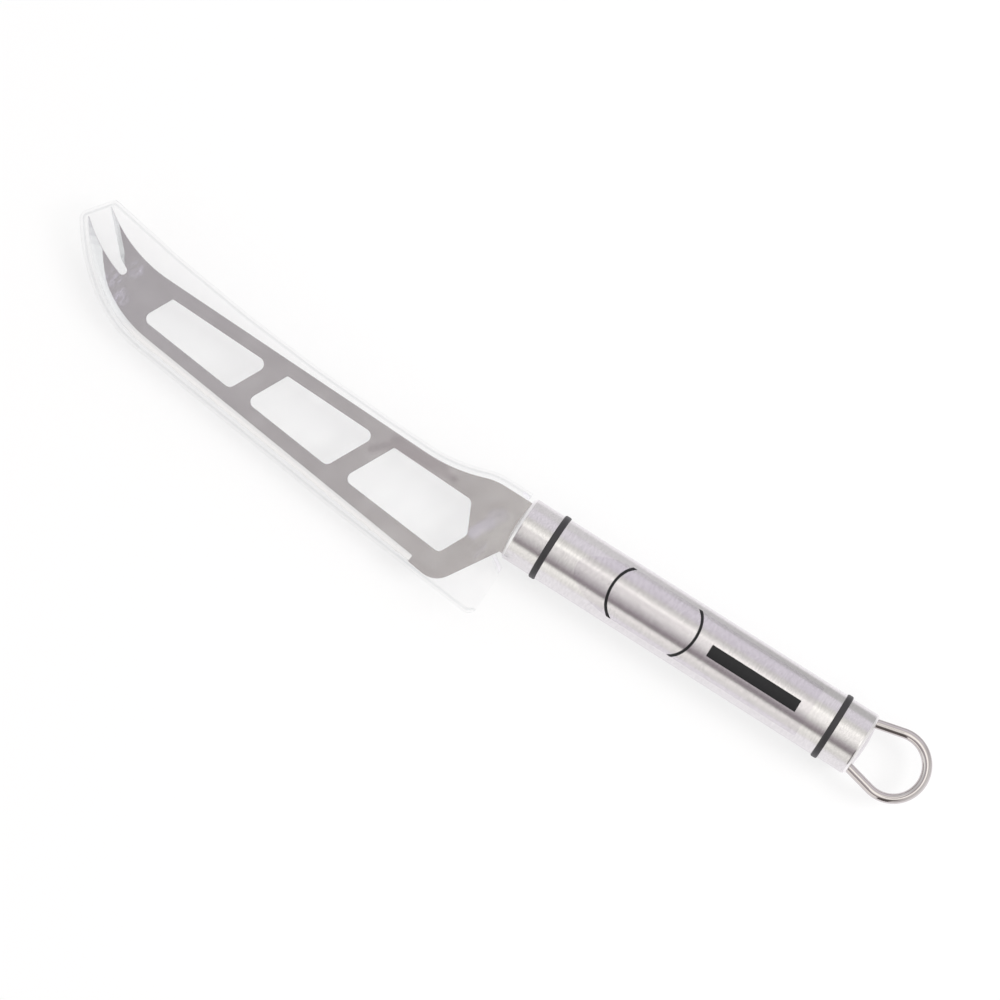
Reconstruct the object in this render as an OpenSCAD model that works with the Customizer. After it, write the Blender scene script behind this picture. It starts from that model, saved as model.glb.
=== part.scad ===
// Cheese knife with a forked tip, a tube handle and a hanging loop, lying flat in its clear blade sleeve.
// The blade points to -X and the loop to +X. The spine faces +Y, and the ground side of the blade faces +Z.
// Sizes are in millimetres. The modules are drawn on the handle's axis, with x = 0 at the rim of the front
// cap, and place() then stands the whole knife on z = 0, centred on the origin.

/* [Handle] */
// Outer diameter of the handle tube
tube_d = 19.2; // [17:0.1:23]
// Wall of the handle tube
tube_wall = 0.8; // [0.6:0.1:1.2]
// Length of the handle tube between its two rings
tube_len = 90.4; // [75:0.1:120]
// How far the caps lie below the tube's surface
cap_step = 0.1; // [0:0.05:0.3]
// Wall of the caps and of the collars that carry the rings
cap_wall = 0.8; // [0.6:0.1:1]
// Length of the front cap, from its rim to the ring
front_cap_len = 9.55; // [8:0.05:14]
// Length of the rear cap, from the ring to its rim
rear_cap_len = 8.95; // [8:0.05:14]
// How far a cap's collar reaches into the tube
collar_len = 6; // [4:0.5:10]
// Rise of the front cap's domed face
front_dome = 0.8; // [0.3:0.1:1.5]
// Rise of the rear cap's domed face
rear_dome = 0.9; // [0.3:0.1:1.5]
// Corner radius round the rim of a cap
cap_corner_r = 1.2; // [0.5:0.1:2]
// Width of a ring along the handle
ring_w = 1.95; // [1.2:0.05:3]
// How far a ring stands above the tube
ring_proud = 0.4; // [0.2:0.1:0.8]
// Corner radius of a ring's outer edges
ring_corner_r = 0.5; // [0.2:0.05:0.55]

/* [Blade] */
// Thickness of the blade
blade_t = 1.5; // [1:0.1:2]
// Reach of the lower tine in front of the front cap
blade_len = 147.8; // [135:0.1:160]
// How much shorter the upper tine is
fork_stagger = 4.1; // [2:0.1:6]
// Room between the cap's inner wall and the upper edge of the blade's root
root_inset_top = 1; // [0.3:0.1:2]
// Room between the cap's inner wall and the lower edge of the blade's root
root_inset_low = 0.2; // [0.15:0.05:1]
// How far the blade's root stays in front of the cap's collar
root_gap = 3; // [2:0.5:5]
// Straight run of the spine in front of the handle
spine_run = 8.95; // [5:0.05:12]
// Radius where the spine turns down from the handle
spine_dip_r = 18.7; // [14:0.1:30]
// Angle that the spine turns down
spine_dip_turn = 19.5; // [15:0.1:22]
// Radius where the spine turns level again
spine_rise_r = 48.8; // [35:0.1:60]
// Angle that the straight spine climbs towards the tip
spine_climb = 1.5; // [0.5:0.1:2]
// Radius where the spine hooks up to the fork
spine_hook_r = 41.9; // [36:0.1:60]
// Angle that the spine hooks up
spine_hook_turn = 32.8; // [30:0.1:36]
// Straight end of the upper tine's back
spine_tip_run = 2.5; // [1:0.1:4]
// Distance from the front cap to the heel end of the cutting edge
heel_x = 20.8; // [16:0.1:26]
// Depth of the cutting edge below the handle's axis, at the heel
heel_drop = 24.3; // [22:0.1:28]
// Angle that the cutting edge climbs towards the tip
edge_slope = 6.8; // [6:0.1:7.4]
// Radius of the belly, where the edge starts to curve up
belly_r = 36.5; // [30:0.1:42]
// Angle that the belly turns
belly_turn = 28.6; // [25:0.1:31]
// Radius of the edge along the lower tine
tine_r = 56.2; // [48:0.1:66]
// Angle that the edge turns along the lower tine
tine_turn = 21.9; // [18:0.1:24]
// Step down to the part of the heel that isn't ground
heel_step = 0.1; // [0.05:0.05:0.2]
// Angle of the heel's sloping back edge
heel_angle = 57.7; // [52:0.1:64]
// Corner radius at the bottom of the heel
heel_r = 6.5; // [3:0.1:8]
// Width of the ground bevel along the cutting edge
bevel_w = 2; // [1.2:0.1:2.6]
// Width that the ground bevel grows to at the lower tine's tip
tine_grind_w = 4.6; // [3:0.1:6]
// Distance from the lower tine's tip at which the bevel begins to widen
tine_grind_len = 20; // [12:0.5:25]
// Width of the ground bevel inside the upper tine
tine_bevel_w = 1.5; // [0.8:0.1:1.8]
// Thickness left at the cutting edge
edge_land = 0.15; // [0.1:0.05:0.4]
// Length of one wave of the cutting edge
scallop_pitch = 4.6; // [3:0.1:8]
// Depth of one wave of the cutting edge
scallop_depth = 0.25; // [0.1:0.05:0.5]

/* [Fork slot] */
// Width of the tines' blunt tips
tine_tip_w = 0.3; // [0.1:0.05:0.5]
// Radius of the slot's round bottom
slot_r = 1.25; // [0.8:0.05:1.5]
// Angle at which the slot's lower side leaves the lower tine's tip
slot_slope = 41.5; // [39:0.5:44]
// Angle that the slot's lower side turns on its way in
slot_turn = 24; // [21:0.5:27]
// Radius of the slot's lower side
slot_side_r = 43.5; // [40:0.5:46]
// Radius where the slot's upper side bends up to the upper tine
slot_bend_r = 8; // [5:0.5:10]
// Angle that the slot's upper side bends
slot_bend_turn = 28; // [22:1:32]

/* [Windows] */
// Width of the bar between the windows and the spine
spine_bar = 3.9; // [3:0.1:4.5]
// Width of the bar between the front window and the bevel
edge_bar_front = 3.7; // [2.5:0.1:4.5]
// Width of the bar between the rear window and the bevel
edge_bar_rear = 5.3; // [3.5:0.1:6.5]
// Distance from the lower tine's tip to the middle of the front window's raked end
window_tip_gap = 30.1; // [26:0.1:34]
// Length of the front window
front_window_len = 32.2; // [25:0.1:36]
// Length of the middle window
middle_window_len = 29.5; // [24:0.1:34]
// Width of the cross bars between the windows, along the blade
cross_bar = 5.6; // [4:0.1:7]
// Distance from the front cap to the point of the rear window
window_rear_gap = 10.7; // [7:0.1:13]
// Depth of the rear window's pointed end
window_point = 4.2; // [2.5:0.1:6]
// Angle of the windows' raked ends
window_rake = 27.5; // [20:0.5:32]
// Corner radius of the windows towards the handle
window_r = 2; // [1:0.1:2.5]
// Corner radius of the windows towards the tip, on the edge side
window_front_r = 1.9; // [0.5:0.1:2.5]
// Corner radius of the windows towards the tip, on the spine side
window_sharp_r = 0.7; // [0.3:0.1:1.5]

/* [Tang and core] */
// Width of the tang
tang_w = 10; // [7:0.5:12]
// Length of the tang inside the core
tang_len = 32; // [20:1:40]
// Diameter of the hole that locks the tang in the core
tang_hole_d = 4; // [3:0.5:5]
// Length of the core behind the end of the tang
core_end = 6; // [3:0.5:10]

/* [Hanging loop] */
// Diameter of the loop's wire
wire_d = 2.9; // [2:0.05:3.6]
// Room between the cap's inner wall and the loop's legs, where they leave the cap
leg_inset = 0.1; // [0.05:0.05:0.6]
// Angle at which the loop's legs spread from the handle's axis
leg_angle = 13.5; // [8:0.5:18]
// How much wider than its legs the loop's round end is, on each side
loop_flare = 2.15; // [1:0.05:3]
// Thickness of the plug in the rear cap behind the ends of the legs
plug_back = 1.4; // [1:0.1:3]

/* [Label film] */
// Thickness of the film on the tube
label_t = 0.12; // [0.08:0.02:0.25]
// Angle that the film reaches round the tube, to each side of its top
label_wrap = 54; // [40:1:75]
// Bare tube in front of the film
label_front = 7.9; // [4:0.1:15]
// Bare tube behind the film
label_rear = 6.5; // [4:0.1:15]
// Length of the film's round front end
label_tab = 16; // [8:0.5:20]

/* [Blade sleeve] */
// Thickness of the sleeve's films
film_t = 0.2; // [0.1:0.05:0.3]
// Room between the blade and each film
film_gap = 0.3; // [0.25:0.05:0.6]
// Width of the sealed rim
seam_w = 0.5; // [0.4:0.05:0.7]
// Margin of the sleeve along the cutting edge
sleeve_edge_gap = 2.3; // [2:0.1:3.5]
// Margin of the sleeve along the spine
sleeve_spine_gap = 2.4; // [2.3:0.1:3]
// Margin of the sleeve beyond the tips of the tines
sleeve_tip_gap = 2.4; // [2:0.1:4]
// Straight run of the sleeve's upper edge along the spine
sleeve_top_run = 14; // [8:0.5:20]
// Length over which the lower edge turns away from the cutting edge towards the mouth
sleeve_low_run = 24; // [15:0.5:30]
// Angle that the lower edge turns away towards the mouth
sleeve_low_turn = 1.4; // [0.5:0.1:1.5]
// Corner radius at the bottom of the sleeve's mouth
mouth_r = 2.8; // [1.5:0.1:4]
// Room between the sleeve's mouth and the front cap
mouth_gap = 0.6; // [0.4:0.1:2]
// How far the free corner of the mouth reaches past the front cap's rim
mouth_reach = 2.4; // [0.5:0.1:4]

/* [Hidden] */
$fn = 96;

// Radial room in the push fits of the handle, and on each side of the blade in its slots
fit = 0.05;
// Room between the film and the tube
label_gap = 0.03;
// How much thinner the loop's straight legs are than its round end, and how far they run into it
leg_draw = 0.02;
leg_lap = 0.3;
// Steps of the outlines' arcs, in degrees: long sweeps, then corners
sweep_step = 2.5;
corner_step = 15;
// Points along one wave of the cutting edge
scallop_points = 6;
// How far cuts run past the surfaces that they open
past = 1;
// Corner radii of the sleeve at the fork and at the mouth
sleeve_tip_r = 2.5;
sleeve_top_r = 1.5;
mouth_inner_r = 1;

// Handle: radii, then places along the axis
tube_r = tube_d / 2;
bore_r = tube_r - tube_wall;
cap_r = tube_r - cap_step;
cap_bore_r = cap_r - cap_wall;
collar_r = bore_r - fit;
ring_r = tube_r + ring_proud;
tube_x0 = front_cap_len + ring_w;
tube_x1 = tube_x0 + tube_len;
rear_x0 = tube_x1 + ring_w;
rear_x1 = rear_x0 + rear_cap_len;

// Points of a path that leaves p at a heading. A move is [0, length] or [radius, turn], turns to the left
// being positive.
function trace(p, heading, moves, i = 0) =
    i == len(moves) ? [p] :
    let (r = moves[i][0], turn = moves[i][1])
    r == 0
        ? concat([p], trace(p + turn * [cos(heading), sin(heading)], heading, moves, i + 1))
        : let (
            side = sign(turn),
            centre = p + side * r * [-sin(heading), cos(heading)],
            steps = ceil(abs(turn) / sweep_step),
            arc = [for (k = [0 : steps])
                let (h = heading + turn * k / steps) centre + side * r * [sin(h), -cos(h)]]
        )
        concat([for (k = [0 : steps - 1]) arc[k]], trace(arc[steps], heading + turn, moves, i + 1));

function last(points) = points[len(points) - 1];
function reverse(points) = [for (i = [len(points) - 1 : -1 : 0]) points[i]];
function unit(v) = v / norm(v);

// Points of an arc that leaves p at a heading and ends at q
function arc_to(p, heading, q) =
    let (
        chord = q - p,
        off = atan2(chord[1], chord[0]) - heading,
        half = off - 360 * round(off / 360)
    )
    trace(p, heading, [[norm(chord) / (2 * sin(abs(half))), 2 * half]]);

// Points of a corner at b between a and c, rounded to r
function corner(a, b, c, r) =
    r == 0 ? [b] :
    let (
        u = unit(a - b),
        v = unit(c - b),
        half = acos(u * v) / 2,
        centre = b + unit(u + v) * r / sin(half),
        from = b + u * r / tan(half) - centre,
        to = b + v * r / tan(half) - centre,
        start = atan2(from[1], from[0]),
        off = atan2(to[1], to[0]) - start,
        sweep = off - 360 * round(off / 360),
        steps = ceil(abs(sweep) / corner_step)
    )
    [for (k = [0 : steps]) centre + r * [cos(start + sweep * k / steps), sin(start + sweep * k / steps)]];

// Closed outline through points, with each corner rounded to its own radius
function rounded(points, radii) =
    let (n = len(points))
    [for (i = [0 : n - 1]) each corner(points[(i + n - 1) % n], points[i], points[(i + 1) % n], radii[i])];

// Steps from the points of an open path to those of a parallel path, 1 mm to its right
function right_steps(path) =
    let (n = len(path))
    [for (i = [0 : n - 1])
        let (
            from = max(i - 1, 0),
            to = min(i, n - 2),
            before = unit(path[from + 1] - path[from]),
            after = unit(path[to + 1] - path[to]),
            along = unit(before + after)
        )
        [along[1], -along[0]] / (along * after)];

// Path that runs straight on past its end
function lengthened(path) = concat(path, [last(path) + past * unit(last(path) - path[len(path) - 2])]);

// Blade: spine from the cap to the tip of the upper tine
spine_y = cap_bore_r - root_inset_top;
spine_heading = 180 - spine_climb;
spine_tip_heading = spine_heading - spine_hook_turn;
spine_start = [[0, spine_run], [spine_dip_r, spine_dip_turn],
    [spine_rise_r, -spine_dip_turn - spine_climb]];
spine_end = [[spine_hook_r, -spine_hook_turn], [0, spine_tip_run]];
spine_level = last(trace([0, spine_y], 180, spine_start));
spine_tip_offset = last(trace([0, 0], spine_heading, spine_end));
spine_len = (fork_stagger - blade_len - spine_level[0] - spine_tip_offset[0]) / cos(spine_heading);
spine = trace([0, spine_y], 180, concat(spine_start, [[0, spine_len]], spine_end));
upper_tip = last(spine);

// Blade: cutting edge from the heel to the tip of the lower tine
edge_heading = 180 - edge_slope;
edge_start = [-heel_x, -heel_drop];
edge_curve = [[belly_r, -belly_turn], [tine_r, -tine_turn]];
edge_curve_offset = last(trace([0, 0], edge_heading, edge_curve));
edge_len = (heel_x - blade_len - edge_curve_offset[0]) / cos(edge_heading);
edge_way = [cos(edge_heading), sin(edge_heading)];
edge_in = [edge_way[1], -edge_way[0]];
edge = trace(edge_start, edge_heading, concat([[0, edge_len]], edge_curve));
edge_tip_heading = edge_heading - belly_turn - tine_turn;
lower_tip = last(edge);

// Blade: bevel along the edge, with its width and its slope at each point
edge_bevel = lengthened(edge);
edge_bevel_w = [for (p = edge_bevel)
    bevel_w + (tine_grind_w - bevel_w) * max(0, 1 - norm(p - lower_tip) / tine_grind_len)];
edge_bevel_fall = [for (w = edge_bevel_w) (blade_t - edge_land) / w];

// Blade: the straight edge's waves, each a shallow hollow between two points
scallop_count = floor(edge_len / scallop_pitch);
waves = [for (i = [0 : scallop_count * scallop_points])
    let (along = i / scallop_points, wave = 2 * (along - floor(along)) - 1)
    edge_start + along * scallop_pitch * edge_way + scallop_depth * (1 - wave * wave) * edge_in];

// Blade: slot of the fork, from the lower tine's tip round its bottom to the upper tine's tip
slot_heading = 180 - slot_slope + slot_turn;
slot_start = lower_tip + tine_tip_w * [sin(edge_tip_heading), -cos(edge_tip_heading)];
slot_end = upper_tip + tine_tip_w * [-sin(spine_tip_heading), cos(spine_tip_heading)];
slot_low = trace(slot_start, -slot_slope, [[slot_side_r, slot_turn], [slot_r, 180]]);
slot_up = concat(trace(last(slot_low), slot_heading, [[slot_bend_r, -slot_bend_turn]]), [slot_end]);
slot = concat(slot_low, slot_up);

// Blade: bevel inside the upper tine, which runs in from nothing along the slot's bend
slot_bevel = lengthened(slot_up);
slot_run_in = len(slot_up) - 2;
slot_bevel_w = [for (i = [0 : len(slot_bevel) - 1]) tine_bevel_w * min(1, (i - 0.5) / slot_run_in)];
slot_bevel_fall = [for (p = slot_bevel) (blade_t - edge_land) / bevel_w];

// Blade: heel, root and tang
root_low = root_inset_low - cap_bore_r;
root_x = front_cap_len - root_gap;
tang_x0 = tube_x0 + collar_len;
tang_x1 = tang_x0 + tang_len;
tang_hole_x = (tang_x0 + tang_x1) / 2;
heel_low = edge_start - heel_step * edge_in;
heel_run = (heel_drop + heel_step + root_low) / tan(heel_angle);
heel_slope_x = (heel_x - front_dome - heel_run) / (1 + tan(edge_slope) / tan(heel_angle));
heel_corner = heel_low - heel_slope_x / cos(edge_slope) * edge_way;
heel_top = [heel_corner[0] + (root_low - heel_corner[1]) / tan(heel_angle), root_low];
root = [[root_x, root_low], [root_x, -tang_w / 2], [tang_x1, -tang_w / 2],
    [tang_x1, tang_w / 2], [root_x, tang_w / 2], [root_x, spine_y]];
curved_edge = [for (i = [1 : len(edge) - 1]) edge[i]];
blade_outline = concat(spine, reverse(slot), reverse(curved_edge), reverse(waves),
    corner(heel_low, heel_corner, heel_top, heel_r), [heel_top], root);

// Windows: lines along the bars, and raked ends
function spine_line(x) = spine_level[1] + (x - spine_level[0]) * tan(spine_heading);
function edge_line(x) = -heel_drop + (x + heel_x) * tan(edge_heading);
window_x0 = window_tip_gap - blade_len;
window_x1 = window_x0 + front_window_len;
window_x2 = window_x1 + cross_bar;
window_x3 = window_x2 + middle_window_len;
window_x4 = window_x3 + cross_bar;
window_x5 = -window_rear_gap;
edge_bar_growth = (edge_bar_rear - edge_bar_front) / (window_x5 - window_x0);
function edge_bar(x) = edge_bar_front + edge_bar_growth * (x - window_x0);
function window_top(x) = spine_line(x) - spine_bar;
function window_low(x) = edge_line(x) + bevel_w + edge_bar(x);
function window_mid(x) = (window_top(x) + window_low(x)) / 2;
function rake_top(x) = [x + (window_top(x) - window_mid(x)) * tan(window_rake), window_top(x)];
function rake_low(x) = [x + (window_low(x) - window_mid(x)) * tan(window_rake), window_low(x)];
function raked_window(x0, x1) =
    rounded([rake_top(x0), rake_low(x0), rake_low(x1), rake_top(x1)],
        [window_sharp_r, window_front_r, window_r, window_r]);
function pointed_window(x0, x1) =
    let (back = x1 - window_point)
    rounded([rake_top(x0), rake_low(x0), [back, window_low(back)], [x1, window_mid(x1)],
            [back, window_top(back)]],
        [window_sharp_r, window_front_r, window_r, window_r, window_r]);

// Loop: legs tangent to the round end
leg_y = cap_bore_r - leg_inset - wire_d / 2;
loop_r = leg_y + loop_flare;
loop_x = rear_x1 + (loop_r - leg_y * cos(leg_angle)) / sin(leg_angle);
loop_turn = 180 + 2 * leg_angle;
leg_top = [loop_x - loop_r * sin(leg_angle), loop_r * cos(leg_angle)];
plug_x0 = rear_x0 + cap_wall + fit;
plug_x1 = rear_x1 - cap_wall;
leg_len = (leg_top[0] - plug_x0 - plug_back) / cos(leg_angle);

// Sleeve: open path round the blade, from the top of the mouth by the fork to the bottom of the mouth
mouth_x = -front_dome - mouth_gap;
sleeve_top_y = spine_y + sleeve_spine_gap;
sleeve_spine = trace([mouth_x, sleeve_top_y], 180, [[0, spine_run + mouth_x],
    [spine_dip_r + sleeve_spine_gap, spine_dip_turn],
    [spine_rise_r - sleeve_spine_gap, -spine_dip_turn - spine_climb], [0, sleeve_top_run]]);
sleeve_fork = upper_tip + [0, sleeve_tip_gap];
sleeve_top = concat(sleeve_spine, arc_to(last(sleeve_spine), spine_heading, sleeve_fork));
sleeve_low_start = edge_start + sleeve_low_run * edge_way - sleeve_edge_gap * edge_in;
sleeve_low = trace(sleeve_low_start, edge_heading, [[0, edge_len - sleeve_low_run],
    [belly_r + sleeve_edge_gap, -belly_turn], [tine_r + sleeve_edge_gap, -tine_turn]]);
sleeve_nose = last(sleeve_low) + sleeve_tip_gap / 2 * [cos(edge_tip_heading), sin(edge_tip_heading)];
mouth_low = sleeve_low_start
    + (mouth_reach - sleeve_low_start[0]) * [1, -tan(edge_slope - sleeve_low_turn)];
mouth_side = [mouth_reach, -cap_r - mouth_reach];
mouth_cap = [mouth_x, -cap_r];
mouth_corner = corner(sleeve_low_start, mouth_low, mouth_side, mouth_r);
sleeve_rim = concat(
    [for (i = [0 : len(sleeve_top) - 2]) sleeve_top[i]],
    corner(sleeve_top[len(sleeve_top) - 2], sleeve_fork, sleeve_nose, sleeve_top_r),
    corner(sleeve_fork, sleeve_nose, last(sleeve_low), sleeve_tip_r),
    reverse([for (i = [0 : len(sleeve_low) - 2]) sleeve_low[i]]),
    [mouth_corner[0]]);
sleeve_outline = concat(sleeve_rim, [for (i = [1 : len(mouth_corner) - 1]) mouth_corner[i]],
    corner(mouth_low, mouth_side, mouth_cap, mouth_inner_r),
    corner(mouth_side, mouth_cap, sleeve_top[0], mouth_inner_r));
seam_steps = right_steps(sleeve_rim);
seam_path = [for (i = [0 : len(sleeve_rim) - 1]) sleeve_rim[i] - seam_w * seam_steps[i]];
film_z = blade_t / 2 + film_gap;

// Box of the whole knife in its sleeve
all_x = concat([for (p = sleeve_outline) p[0]], [loop_x + loop_r + wire_d / 2]);
all_y = concat([for (p = sleeve_outline) p[1]], [loop_r + wire_d / 2, -loop_r - wire_d / 2]);
middle = [(min(all_x) + max(all_x)) / 2, (min(all_y) + max(all_y)) / 2];

// Stands the knife on z = 0, centred on the origin
module place() {
    translate([-middle[0], -middle[1], ring_r]) children();
}

// Turns a profile of [radius, x] points about the handle's axis
module turned(profile) {
    rotate([0, 90, 0]) rotate_extrude() polygon(profile);
}

// Plate of the blade's thickness, centred on the axis
module plate(thickness = blade_t) {
    translate([0, 0, -thickness / 2]) linear_extrude(thickness) children();
}

// Cup with a domed end, whose collar carries a ring and fits the tube. Its rim lies at x = 0, open to +X.
module cap_cup(length, dome) {
    flat_r = cap_r - cap_corner_r;
    dome_r = (flat_r * flat_r + dome * dome) / (2 * dome);
    dome_angle = asin(flat_r / dome_r);
    dome_steps = 6;
    face = [for (k = [0 : dome_steps])
        let (a = dome_angle * k / dome_steps) [dome_r * sin(a), dome_r - dome - dome_r * cos(a)]];
    rim = [for (a = [corner_step : corner_step : 90])
        [flat_r + cap_corner_r * sin(a), cap_corner_r * (1 - cos(a))]];
    collar_end = length + ring_w + collar_len;
    collar_bore_r = collar_r - cap_wall;
    turned(concat(face, rim, [[cap_r, length], [collar_r, length], [collar_r, collar_end],
        [collar_bore_r, collar_end], [collar_bore_r, length - cap_wall], [cap_bore_r, length - cap_wall],
        [cap_bore_r, cap_wall], [0, cap_wall]]));
}

// Ring with rounded outer edges, from x = 0 to its width
module ring() {
    inner_r = collar_r + fit;
    flat_r = ring_r - ring_corner_r;
    low = [for (a = [0 : corner_step : 90])
        [flat_r + ring_corner_r * sin(a), ring_corner_r * (1 - cos(a))]];
    high = [for (p = reverse(low)) [p[0], ring_w - p[1]]];
    turned(concat([[inner_r, 0]], low, high, [[inner_r, ring_w]]));
}

// Wedge that grinds a bevel along a path, whose material lies on the path's right-hand side. Each point has a
// width and a slope of its own.
module bevel_cut(path, widths, falls) {
    steps = right_steps(path);
    points = [for (i = [0 : len(path) - 1])
        let (
            inner = path[i] + (widths[i] + past) * steps[i],
            outer = path[i] - past * steps[i],
            top = blade_t / 2 + falls[i] * past,
            bottom = blade_t / 2 - falls[i] * (widths[i] + past)
        )
        each [[inner[0], inner[1], top], [outer[0], outer[1], bottom], [outer[0], outer[1], top]]];
    sides = [for (i = [0 : len(path) - 2], k = [0 : 2])
        let (a = 3 * i + k, b = 3 * i + (k + 1) % 3) each [[b, a, b + 3], [b + 3, a, a + 3]]];
    end = 3 * (len(path) - 1);
    polyhedron(points, concat(sides, [[0, 1, 2], [end + 2, end + 1, end]]));
}

// The loop's leg on one side, or its bore with some room round it
module leg(side, room = 0) {
    translate([leg_top[0], side * leg_top[1], 0])
        rotate([0, -90, side * leg_angle])
            translate([0, 0, -leg_lap])
                cylinder(h = leg_len + leg_lap, d = wire_d - leg_draw + 2 * room);
}

module blade() {
    color("silver") place() difference() {
        plate() difference() {
            polygon(blade_outline);
            polygon(raked_window(window_x0, window_x1));
            polygon(raked_window(window_x2, window_x3));
            polygon(pointed_window(window_x4, window_x5));
        }
        bevel_cut(edge_bevel, edge_bevel_w, edge_bevel_fall);
        bevel_cut(slot_bevel, slot_bevel_w, slot_bevel_fall);
        translate([tang_hole_x, 0, -blade_t]) cylinder(h = 2 * blade_t, d = tang_hole_d);
    }
}

module front_cap() {
    slot_w = spine_y - root_low + 2 * fit;
    slot_h = blade_t + 2 * fit;
    color("gainsboro") place() difference() {
        cap_cup(front_cap_len, front_dome);
        translate([-front_dome - past, root_low - fit, -slot_h / 2])
            cube([front_dome + cap_wall + 2 * past, slot_w, slot_h]);
    }
}

module front_ring() {
    color("dimgray") place() translate([front_cap_len, 0, 0]) ring();
}

module handle_tube() {
    color("lightgray") place()
        turned([[bore_r, tube_x0], [tube_r, tube_x0], [tube_r, tube_x1], [bore_r, tube_x1]]);
}

module tang_core() {
    lock_d = tang_hole_d - 2 * fit;
    slot_w = tang_w + 2 * fit;
    slot_h = blade_t + 2 * fit;
    core_x1 = tang_x1 + core_end;
    color("ivory") place() {
        difference() {
            turned([[0, tang_x0], [collar_r, tang_x0], [collar_r, core_x1], [0, core_x1]]);
            translate([tang_x0 - past, -slot_w / 2, -slot_h / 2])
                cube([tang_len + past + fit, slot_w, slot_h]);
        }
        translate([tang_hole_x, 0, -blade_t]) cylinder(h = 2 * blade_t, d = lock_d);
    }
}

module rear_ring() {
    color("dimgray") place() translate([tube_x1, 0, 0]) ring();
}

module rear_cap() {
    color("gainsboro") place() difference() {
        translate([rear_x1, 0, 0]) mirror([1, 0, 0]) cap_cup(rear_cap_len, rear_dome);
        for (side = [-1, 1]) leg(side, fit);
    }
}

module loop_plug() {
    plug_r = cap_bore_r - fit;
    color("ivory") place() difference() {
        turned([[0, plug_x0], [plug_r, plug_x0], [plug_r, plug_x1], [0, plug_x1]]);
        for (side = [-1, 1]) leg(side, fit);
    }
}

module hanging_loop() {
    color("silver") place() {
        translate([loop_x, 0, 0])
            rotate([0, 0, -loop_turn / 2])
                rotate_extrude(angle = loop_turn) translate([loop_r, 0]) circle(d = wire_d);
        for (side = [-1, 1]) leg(side);
    }
}

module label_film() {
    inner_r = tube_r + label_gap;
    half_w = tube_r * sin(label_wrap);
    x0 = tube_x0 + label_front;
    x1 = tube_x1 - label_rear;
    tab_step = 6;
    tab = [for (a = [90 : -tab_step : -90]) [x0 + label_tab * (1 - cos(a)), half_w * sin(a)]];
    color("aliceblue", 0.4) place() intersection() {
        turned([[inner_r, x0], [inner_r + label_t, x0], [inner_r + label_t, x1], [inner_r, x1]]);
        linear_extrude(tube_d) polygon(concat(tab, [[x1 + past, -half_w], [x1 + past, half_w]]));
    }
}

module sleeve_upper_film() {
    color("azure", 0.3) place()
        translate([0, 0, film_z]) linear_extrude(film_t) polygon(sleeve_outline);
}

module sleeve_lower_film() {
    color("azure", 0.3) place()
        translate([0, 0, -film_z - film_t]) linear_extrude(film_t) polygon(sleeve_outline);
}

module sleeve_seam() {
    color("azure", 0.3) place()
        plate(2 * film_z) polygon(concat(sleeve_rim, reverse(seam_path)));
}

blade();
front_cap();
front_ring();
handle_tube();
tang_core();
rear_ring();
rear_cap();
loop_plug();
hanging_loop();
label_film();
sleeve_upper_film();
sleeve_lower_film();
sleeve_seam();
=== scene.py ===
"""Looks of the cheese knife: its steels, rings, clear label and blade sleeve, in plain studio light."""

import math

import bmesh
import bpy
import numpy as np
from mathutils import Matrix, Vector


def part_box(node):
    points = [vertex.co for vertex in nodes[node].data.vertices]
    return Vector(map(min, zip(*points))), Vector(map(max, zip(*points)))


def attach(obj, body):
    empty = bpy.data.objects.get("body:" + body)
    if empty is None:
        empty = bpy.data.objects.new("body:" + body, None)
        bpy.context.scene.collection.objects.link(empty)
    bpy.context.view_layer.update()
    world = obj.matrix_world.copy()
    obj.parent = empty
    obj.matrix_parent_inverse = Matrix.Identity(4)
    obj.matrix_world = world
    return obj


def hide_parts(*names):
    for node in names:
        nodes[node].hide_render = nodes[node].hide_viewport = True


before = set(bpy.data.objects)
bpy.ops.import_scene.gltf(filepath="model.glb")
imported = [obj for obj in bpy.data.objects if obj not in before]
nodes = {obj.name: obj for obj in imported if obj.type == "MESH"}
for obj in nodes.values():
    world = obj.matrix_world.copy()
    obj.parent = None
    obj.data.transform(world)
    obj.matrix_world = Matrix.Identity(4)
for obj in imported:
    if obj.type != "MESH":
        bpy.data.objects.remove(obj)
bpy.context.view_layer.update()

MM = 0.001

# The handle's axis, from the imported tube, and the loop's end
tube_low, tube_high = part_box("handle_tube")
AXIS = (tube_low + tube_high) / 2
TUBE_R = (tube_high.z - tube_low.z) / 2
LOOP_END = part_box("hanging_loop")[1].x

# Camera: how wide the picture is at the knife, what it is centred on, and how the knife lies in it
PICTURE_WIDTH = 277.4 * MM
PICTURE_MIDDLE = Vector((LOOP_END - 141.9 * MM, AXIS.y + 3.68 * MM, AXIS.z))
CAMERA_DISTANCE = 1.6
CAMERA_LEAN = math.radians(3)
KNIFE_TURN = math.radians(32.4)
SENSOR_WIDTH = 36.0

# Light of the room by the angle from straight up, positive towards the cutting edge: degrees, level, tint
WARM = (1.02, 1.0, 0.965)
COOL = (1.0, 0.955, 1.03)
DUSK = (1.07, 0.94, 1.0)
ROOM_LIGHT = [
    (-180, 0.90, COOL), (-100, 0.85, COOL), (-72, 0.92, COOL), (-55, 0.86, COOL), (-42, 0.80, WARM),
    (-32, 0.98, WARM), (-21, 1.38, WARM), (-10, 1.60, WARM), (3, 1.56, WARM), (12, 1.18, WARM),
    (22, 0.80, WARM), (31, 0.50, DUSK), (38, 0.34, DUSK), (46, 0.30, DUSK), (50, 0.60, WARM),
    (56, 1.22, WARM), (64, 1.22, WARM), (78, 1.05, WARM), (100, 1.00, COOL), (180, 0.90, COOL),
]
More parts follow.
